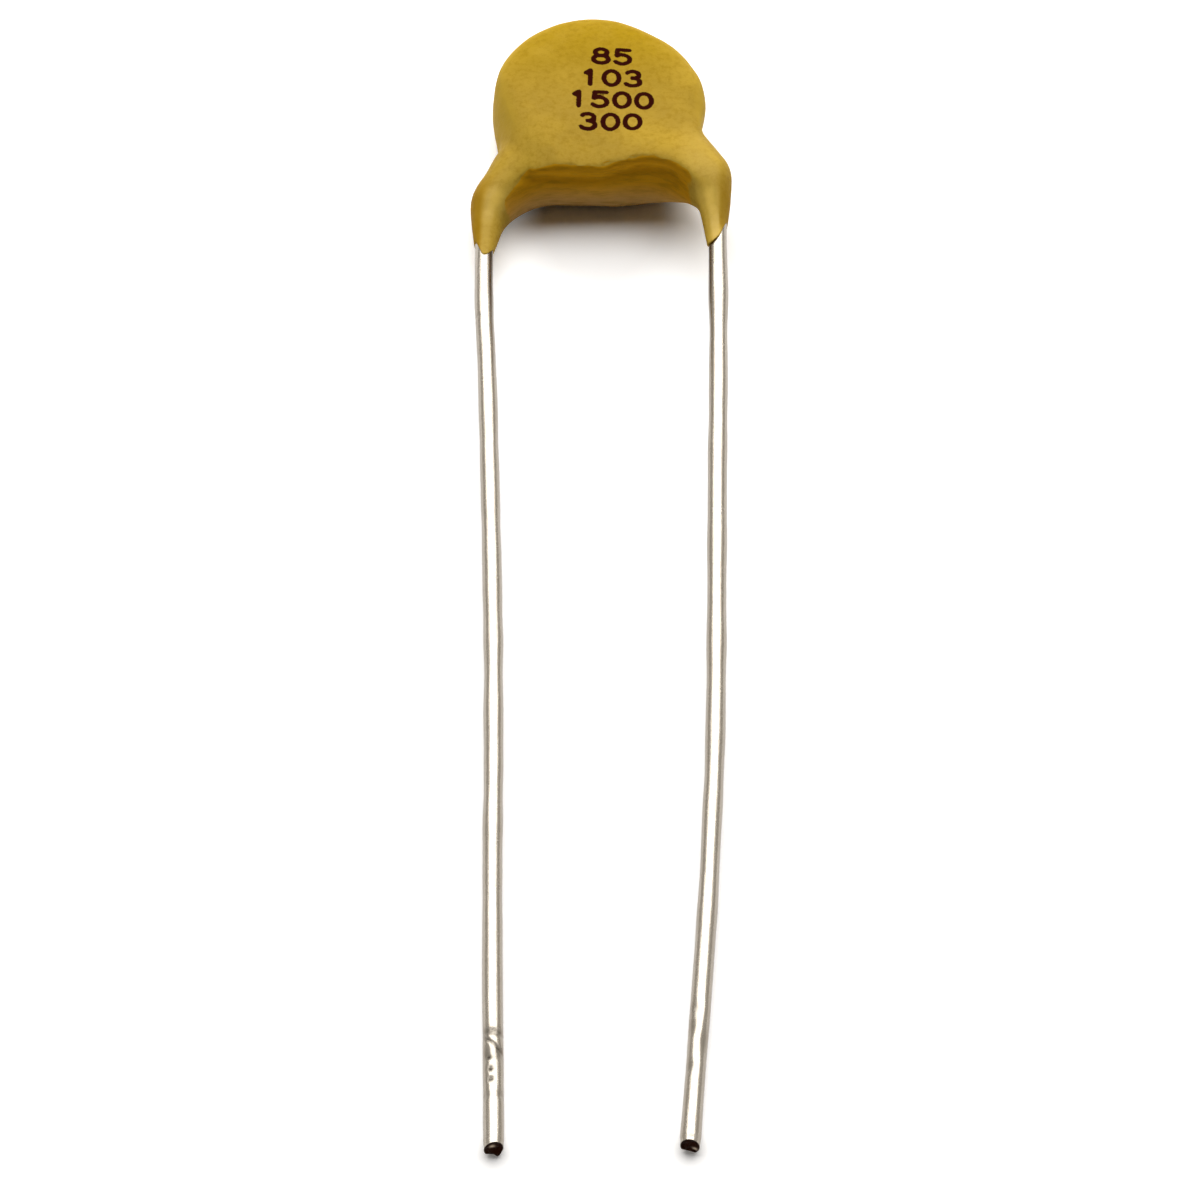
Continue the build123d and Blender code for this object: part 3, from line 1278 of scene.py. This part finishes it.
    def grid(self) -> np.ndarray:
        """Carry the sections from the left leg over the disc to the right leg, and make it uneven.

        Returns:
            Rings of points in the row frame.
        """
        steps = np.linspace(0, 1, self.stations)
        shares = mix(steps, steps**2, self.station_crowding)
        back = shares[:-1][::-1]
        grid = np.concatenate([self.half(shares, False), self.half(back, True)])
        leg_shares = np.concatenate([shares, back])
        grid += self.dip.front(grid)
        grid += self.dip.flattening(grid, self.middle)
        grid += self.dip.end_slants(grid, leg_shares)
        return self.lips(grid + self.dip.swelling(grid, leg_shares))

    def lips(self, grid: np.ndarray) -> np.ndarray:
        """Add the thin rounded end of the coating on each lead.

        Each end ring is carried a little further along its leg and drawn in until it is inside the
        wire.

        Args:
            grid: Rings from leg to leg.

        Returns:
            The rings with the ends added.
        """
        further = np.array(self.lip_further)[:, None, None]
        drawn = np.array(self.lip_drawn)[:, None, None]
        ends = []
        for ring, next_ring in ((grid[0], grid[1]), (grid[-1], grid[-2])):
            middle = ring.mean(axis=0)
            away = unit(middle - next_ring.mean(axis=0))
            ends.append(mix(middle, ring, drawn) + away * further)
        return np.concatenate([ends[0], grid, ends[1][::-1]])

    def build(self) -> bpy.types.Object:
        """Make the coating, which carries its print and its painted light and shade on wall,
        crests, steep sides and rim as marks.

        Returns:
            The piece.
        """
        grid = self.grid()
        marks = self.marks.values(grid, self.middle)
        marks[Mark.PRINT] = self.marking.depths(self.rest.side(True).local(grid))
        skin = Skin("dipped_coating", grid, marks)
        return skin.build(self.finish.material(), Slot.COATING, "coating")


@dataclass(frozen=True)
class Dent:
    """A dent in a wire: place from the tip, turn from the top, depth, form and darkness."""

    place: float
    turn: float
    depth: float
    length: float
    sharpness: float
    skew: float = 0.0
    # share of painted shade in the dent
    painted_dent_shade: float = 0.2

    def press(self, from_tip: np.ndarray, angle: np.ndarray) -> np.ndarray:
        """Share of the depth: a bell along the wire times a power of the cosine around it.

        Args:
            from_tip: Distance from the tip, a column.
            angle: Angle round the wire from its top, a row.

        Returns:
            A share between 0 and 1 for each ring and angle.
        """
        away = (angle - self.turn + math.pi) % (2 * math.pi) - math.pi
        along = Bell(self.place, self.length)(from_tip - self.skew * away)
        return along * np.clip(np.cos(away), 0, 1) ** self.sharpness


@dataclass(frozen=True)
class Tip:
    """The sheared end of a wire: slant and lean of its face, flat below it, burr, bright spot."""

    slant_deg: float
    lean: float
    flat_level: float
    flat_lean: float
    burr_turn: float
    burr_length: float
    shine: Pair


@dataclass(frozen=True)
class Lead:
    """One wire lead: soldered on the disc, bent down the leg, running out to its sheared tip."""

    name: str
    node: str
    upper: bool
    lead_free_length: float
    bends: tuple[Pair, ...]
    dents: tuple[Dent, ...]
    sway: tuple[Pair, ...]
    tip: Tip
    seed: int
    rest: Rest = Rest()
    finish: WireFinish = WireFinish()
    lead_radius: float = 0.3
    lead_bend_radius: float = 1.0
    lead_bend_drop: float = 3.3
    lead_end_across: float = 0.5
    lead_end_above: float = 1.0
    knee_share: float = 0.07
    gentle_bend_share: float = 0.3
    tip_trim: float = 0.05
    tip_rounding: Ramp = Ramp(0.4, -0.35, 0.02)
    flat_reach: Ramp = Ramp(0.6, -0.5)
    sway_window: float = 1.2
    sway_samples: int = 25
    wobble: Waves = Waves(0.009, (1.2, 3.5), 16, 0, (0.2, 1.0, 0.2))
    wobble_reach: Ramp = Ramp(0.1, 0.6)
    slide: float = 0.8
    tear: Waves = Waves(0.02, (0.12, 0.4), 24, 5)
    tear_edge: Ramp = Ramp(0.0, 0.25)
    dish: float = 0.02
    burr_power: int = 12
    glint: Bell = Bell(0.0, 0.17)
    glint_form: Pair = (0.7, 1.3)
    # where painted shade goes on the lower flanks
    flank_shade: Ramp = Ramp(0.8, -0.45)
    rings: int = 900
    ring_crowding: float = 1.35
    ring_points: int = 64
    cap_rings: int = 14
    cap_reach: float = 0.96
    arc_points: int = 200

    def route(self) -> Route:
        """Centre line as straight runs and tangent arcs.

        Returns:
            The line from the end on the disc to the tip.
        """
        rest = self.rest
        local = [
            [self.lead_end_across, self.lead_end_above, rest.lead_offset],
            [rest.half_pitch, -self.lead_bend_drop, rest.lead_offset],
            [rest.half_pitch, -rest.coat_reach, rest.lead_exit_offset],
        ]
        inner_end, shoulder, leaving = rest.side(self.upper).place(np.array(local))
        free_run = self.lead_free_length + self.tip_trim
        knee = leaving + unit(leaving - shoulder) * self.knee_share * free_run
        outward = 1 if self.upper else -1
        corners = [inner_end, shoulder, knee]
        for share, inset in self.bends:
            lowering = (share - self.knee_share) / (1 - self.knee_share)
            height = mix(knee[2], self.lead_radius, lowering)
            x = outward * (rest.half_pitch - inset)
            corners.append(np.array([x, leaving[1] - share * free_run, height]))
        radii = [self.lead_bend_radius]
        for before, corner, after in zip(corners[1:], corners[2:], corners[3:]):
            run_in, run_out = corner - before, after - corner
            half_turn = math.acos(float(np.clip(unit(run_in) @ unit(run_out), -1, 1))) / 2
            shorter = min(np.linalg.norm(run_in), np.linalg.norm(run_out))
            radii.append(self.gentle_bend_share * shorter / math.tan(half_turn))
        return Route(Route.rounded(corners, radii, self.arc_points))

    def grid(self) -> tuple[np.ndarray, dict[Mark, np.ndarray]]:
        """Rings of the wire and of its sheared end.

        A circle of the wire's radius is carried along the route; dents press it in, a flat lies
        below the tip, and a line over the length sways it sideways. The last rings slide along the
        wire onto the slanted plane of the cut, which the cap fills.

        Returns:
            Rings of points, and by mark how far each point belongs to the lower flanks' painted
            shade, to the cut, to the bright spot in it, and to the scrapes with their painted
            shade.
        """
        route = self.route()
        shares = 1 - (1 - np.linspace(0, 1, self.rings)) ** self.ring_crowding
        centre = route.at(shares)
        ahead = route.heading(shares)
        up = unit(np.array([0.0, 0.0, 1.0]) - ahead * ahead[:, 2:])
        right = np.cross(ahead, up)
        angle = np.linspace(0, 2 * math.pi, self.ring_points, endpoint=False)
        cosine, sine = np.cos(angle), np.sin(angle)
        spokes = up[:, None] * cosine[:, None] + right[:, None] * sine[:, None]

        from_tip = (1 - shares)[:, None] * route.length
        scraped_and_shaded = np.zeros((self.rings, self.ring_points))
        radius = scraped_and_shaded + self.lead_radius - self.tip_rounding(from_tip)
        for dent in self.dents:
            pressed = dent.press(from_tip, angle)
            scraped_and_shaded += dent.painted_dent_shade * pressed
            radius -= dent.depth * pressed
        points = centre[:, None] + spokes * radius[..., None]
        tip = self.tip
        below = -self.lead_radius * (cosine + tip.flat_lean * sine) - tip.flat_level
        flat = np.maximum(below, 0) * self.flat_reach(from_tip)
        points += up[:, None] * flat[..., None]
        places, across = np.array(self.sway).T
        window = np.linspace(-self.sway_window, self.sway_window, self.sway_samples)
        points[..., 0] += np.interp(from_tip + window, places, across).mean(axis=1, keepdims=True)
        wobble = self.wobble.at(points, self.seed) * self.wobble_reach(from_tip)
        points += spokes * wobble[..., None]

        slant = math.radians(tip.slant_deg)
        setback = self.tip_trim + self.lead_radius * math.tan(slant)
        cut_face = ahead[-1] * math.cos(slant) + up[-1] * math.sin(slant) - right[-1] * tip.lean
        over = (points[-1] - centre[-1] + ahead[-1] * setback) @ cut_face / (ahead[-1] @ cut_face)
        points -= (over * np.clip(1 - from_tip / self.slide, 0, 1) ** 2)[..., None] * ahead[-1]

        cap, spot = self.cap(points[-1], cut_face, ahead[-1], angle)
        parts = {
            Mark.FLANK_SHADE: (self.flank_shade(cosine), 0.0),
            Mark.CUT: (0.0, 1.0),
            Mark.GLINT: (0.0, spot),
            Mark.SCRAPED_AND_SHADED: (np.clip(scraped_and_shaded, 0, 1), 0.0),
        }
        marks = {
            mark: np.concatenate([np.zeros_like(radius) + wire, np.zeros_like(spot) + cut])
            for mark, (wire, cut) in parts.items()
        }
        return np.concatenate([points, cap]), marks

    def cap(
        self, rim: np.ndarray, cut_face: np.ndarray, ahead: np.ndarray, angle: np.ndarray
    ) -> tuple[np.ndarray, np.ndarray]:
        """Fill the cut with smaller and smaller copies of its rim.

        The copies are dished and roughened along the face's normal away from the rim, and a high
        power of a cosine draws the rim out into a burr.

        Args:
            rim: Last ring of the wire, on the plane of the cut.
            cut_face: Normal of the cut.
            ahead: Direction of the wire.
            angle: Angle round the wire of each point.

        Returns:
            Rings of points, and how far each point belongs to the bright spot.
        """
        inward = np.linspace(0, self.cap_reach, self.cap_rings)[1:, None, None]
        left = 1 - inward
        cap = mix(rim, rim.mean(axis=0), inward)
        rough = (self.tear.at(cap, self.seed) - self.dish) * self.tear_edge(inward[..., 0])
        cap += cut_face * rough[..., None]
        burr = np.clip(np.cos(angle - self.tip.burr_turn), 0, 1) ** self.burr_power
        cap += ahead * (self.tip.burr_length * burr * left[..., 0])[..., None]
        face = np.stack([np.sin(angle), np.cos(angle)], axis=-1) * left
        spot = np.linalg.norm((face - self.tip.shine) * self.glint_form, axis=-1)
        return cap, self.glint(spot)

    def build(self) -> bpy.types.Object:
        """Make the wire, which carries as marks its painted flank shade, cut, glint, and scrapes
        with painted shade.
        """
        skin = Skin(self.name, *self.grid())
        return skin.build(self.finish.material(), Slot.WIRE, self.node)


def left_lead() -> Lead:
    """The lead on the lower side, with deep dents near its tip.

    Returns:
        The lead; its sway is distance from the tip and way across.
    """
    return Lead(
        name="wire_left",
        node="lead_left",
        upper=False,
        lead_free_length=33.7,
        bends=((0.37, 0.38), (1, 0.73)),
        dents=(
            Dent(3.84, 0.0, 0.04, 0.13, 1.0, 0.04, 0.8),
            Dent(3.48, 0.1, 0.035, 0.07, 0.8, 0.25, 0.8),
            Dent(3.15, -0.55, 0.045, 0.22, 4.0, 0.0, 0.4),
            Dent(3.15, 0.65, 0.04, 0.24, 6.0, 0.0, 0.35),
            Dent(3.0, 0.4, 0.025, 0.08, 16.0, 0.0, 0.8),
            Dent(2.6, 0.26, 0.035, 0.11, 14.0, 0.0, 1.2),
            Dent(2.27, 0.26, 0.035, 0.1, 14.0, 0.0, 1.2),
            Dent(1.75, 0.9, 0.015, 0.13, 8.0, 0.0, 0.35),
            Dent(1.78, -0.9, 0.015, 0.13, 8.0, 0.0, 0.35),
            Dent(30.7, 0.9, 0.012, 0.08, 10.0),
        ),
        sway=(
            (0, 0), (3, 0), (5, -0.016), (8, -0.01), (11, 0.006), (13.2, 0.05), (15, 0.042),
            (17.2, 0.062), (20, 0.033), (23.5, 0.03), (26.2, 0.047), (28.5, 0.06), (31.8, 0.01),
            (34, 0),
        ),
        tip=Tip(13, 0.15, 0.24, -0.3, -2.6, 0.09, (0.15, 0.3)),
        seed=21,
    )


def right_lead() -> Lead:
    """The lead on the upper side, with shallow dents near its tip.

    Returns:
        The lead; its sway is distance from the tip and way across.
    """
    return Lead(
        name="wire_right",
        node="lead_right",
        upper=True,
        lead_free_length=33.62,
        bends=((0.66, 0.37), (1, 1.24)),
        dents=(
            Dent(4.55, 0.4, 0.03, 0.25, 5.0),
            Dent(3.5, -0.65, 0.03, 0.5, 5.0),
            Dent(3.9, 0.68, 0.025, 0.3, 5.0),
            Dent(2.6, 0.66, 0.025, 0.25, 5.0),
        ),
        sway=(
            (0, 0), (6, 0.006), (9, -0.012), (11, -0.036), (13, -0.01), (16.6, 0.015), (19, 0.014),
            (25, 0.006), (27, 0.022), (29, 0.014), (34, 0),
        ),
        tip=Tip(14, -0.05, 0.21, -0.2, -2.2, 0.02, (-0.5, -0.3)),
        seed=31,
    )


@dataclass(frozen=True)
class Core:
    """The inner pieces that the coating hides: solids of the model in their own finishes."""

    ceramic: CoreFinish = CoreFinish(
        "fired_ceramic", paint(196, 180, 152), paint(172, 152, 122), 0.0, 0.6, Grain(6.0, 4.0, 0.6)
    )
    silver: CoreFinish = CoreFinish(
        "fired_silver", paint(228, 226, 220), paint(196, 192, 184), 1.0, 0.45, Grain(9.0, 4.0, 0.6)
    )
    solder: CoreFinish = CoreFinish(
        "dull_solder", paint(188, 188, 190), paint(150, 150, 154), 1.0, 0.4, Grain(4.0, 4.0, 0.6)
    )

    def dress(self) -> list[bpy.types.Object]:
        """Give each inner solid its finish.

        Returns:
            The solids.
        """
        finishes = {
            self.ceramic: ("ceramic_disc",),
            self.silver: ("electrode_upper", "electrode_lower"),
            self.solder: ("solder_upper", "solder_lower"),
        }
        solids = []
        for finish, nodes in finishes.items():
            material = finish.material()
            for node in nodes:
                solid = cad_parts[node]
                solid.data.materials.clear()
                solid.data.materials.append(material)
                solids.append(solid)
        return solids


@dataclass(frozen=True)
class Shadow:
    """A round or narrower place on the floor that glows less: middle, radius, depth, narrowing."""

    x: float
    y: float
    radius: float
    depth: float
    narrowing: float = 1.0


@dataclass(frozen=True)
class Lamp:
    """A wide soft lamp: how far back it hangs, and its size in metres."""

    name: str
    back: float
    width: float
    depth: float


@dataclass(frozen=True)
class Studio:
    """Pale floor, wide soft lamps above and behind, a room that is dim in front, and the camera."""

    floor_half: float = 3.0
    floor_colour: Colour = paint(253, 252, 251)
    floor_rough: float = 0.9
    glow: float = 0.3
    shadows: tuple[Shadow, ...] = (
        Shadow(0.0, 14.6, 3.3, 1.0, 1.5),
        Shadow(-3.0, -22.1, 0.8, 0.65),
        Shadow(2.47, -21.95, 0.8, 0.65),
    )
    shadow_edge: Pair = (0.8, 1.7)
    black: Colour = (0.0, 0.0, 0.0, 1.0)
    white: Colour = (1.0, 1.0, 1.0, 1.0)
    room_front: Colour = (0.03, 0.027, 0.024, 1.0)
    room_back: Colour = (0.6, 0.57, 0.52, 1.0)
    room_seen: Colour = (0.85, 0.83, 0.8, 1.0)
    room_turn: Pair = (0.05, 0.5)
    lamps: tuple[Lamp, ...] = (
        Lamp("soft_lamp", 0.275, 0.8, 0.4),
        Lamp("back_lamp", 0.65, 1.3, 0.3),
    )
    lamp_height: float = 0.5
    lamp_level: float = 4.0
    camera_place: Triple = (-0.00002, -0.09625, 0.1197)
    camera_aim: Triple = (0.0, 0.6204, -0.7843)
    focal_px: float = 4960
    picture_px: float = 1200
    sensor: float = 36.0
    clip_start: float = 0.01

    def floor_finish(self) -> bpy.types.Material:
        """Pale floor that glows to white where it is seen, and less so where a shadow falls.

        Returns:
            The material.
        """
        bench = Bench.new("pale_floor")
        mm = bench.places()
        glow = bench.seen() * self.glow
        for shadow in self.shadows:
            narrow = (shadow.narrowing, 1.0, 1.0)
            middle = (-shadow.narrowing * shadow.x, -shadow.y, 0.0)
            out = bench.vector("MULTIPLY_ADD", mm, narrow, middle)["Vector"]
            reach = Tone(bench, bench.vector("LENGTH", out)["Value"])
            away = reach.step(*(shadow.radius * share for share in self.shadow_edge))
            glow = glow * (1 - shadow.depth + away * shadow.depth)
        return bench.finish(
            {
                "Base Color": self.floor_colour,
                "Roughness": self.floor_rough,
                "Emission Color": bench.blend(glow, self.black, self.white),
                "Emission Strength": 1.0,
            }
        )

    def floor(self) -> None:
        """Lay the floor as one square.

        It lies level at height zero with its middle at the origin.
        """
        half = self.floor_half
        corners = [(-half, -half, 0.0), (half, -half, 0.0), (half, half, 0.0), (-half, half, 0.0)]
        mesh = bpy.data.meshes.new("floor")
        mesh.from_pydata(corners, [], [(0, 1, 2, 3)])
        mesh.materials.append(self.floor_finish())
        floor = bpy.data.objects.new("floor", mesh)
        bpy.context.scene.collection.objects.link(floor)

    def light(self) -> None:
        """Hang the soft lamps and dim the room.

        The room is lit at the back and dim in front, but pale in front where it is mirrored.
        """
        for lamp in self.lamps:
            area = bpy.data.lights.new(lamp.name, "AREA")
            area.shape = "RECTANGLE"
            area.size, area.size_y = lamp.width, lamp.depth
            area.energy = self.lamp_level * math.pi * lamp.width * lamp.depth
            hung = bpy.data.objects.new(lamp.name, area)
            hung.location = (0.0, lamp.back, self.lamp_height)
            bpy.context.scene.collection.objects.link(hung)
        world = bpy.data.worlds.new("room")
        world.use_nodes = True
        bench = Bench(world.node_tree)
        around = bench.node("ShaderNodeTexCoord", {}, {}).outputs["Generated"]
        front = bench.blend(bench.seen(), self.room_front, self.room_seen)
        back = bench.axis(around, "Y").step(*self.room_turn)
        colour = bench.blend(back, front, self.room_back)
        background = bench.node("ShaderNodeBackground", {}, {"Color": colour, "Strength": 1.0})
        bench.node("ShaderNodeOutputWorld", {}, {"Surface": background.outputs[0]})
        bpy.context.scene.world = world

    def camera(self) -> None:
        """Set the camera where the photograph was taken from.

        Its lens follows from the focal length and the width of the picture in pixels.
        """
        eye = bpy.data.cameras.new("camera")
        eye.sensor_width = self.sensor
        eye.lens = self.focal_px * self.sensor / self.picture_px
        eye.clip_start = self.clip_start
        placed = bpy.data.objects.new("camera", eye)
        placed.location = self.camera_place
        placed.rotation_euler = Vector(self.camera_aim).to_track_quat("-Z", "Y").to_euler()
        bpy.context.scene.collection.objects.link(placed)
        bpy.context.scene.camera = placed

    def build(self) -> None:
        """Set up camera, floor and light.

        Colours are shown plainly, without a film-like curve.
        """
        self.camera()
        self.floor()
        self.light()
        bpy.context.scene.view_settings.view_transform = "Standard"


def main() -> None:
    """Build the studio, then each sub-assembly in order.

    Each piece is reported with its number of points.
    """
    logging.basicConfig(level=logging.INFO, format="%(name)s %(message)s")
    Studio().build()
    pieces = [Coating().build(), left_lead().build(), right_lead().build(), *Core().dress()]
    for piece in pieces:
        log.info("%s: %d points", piece.name, len(piece.data.vertices))


if __name__ == "__main__":
    main()
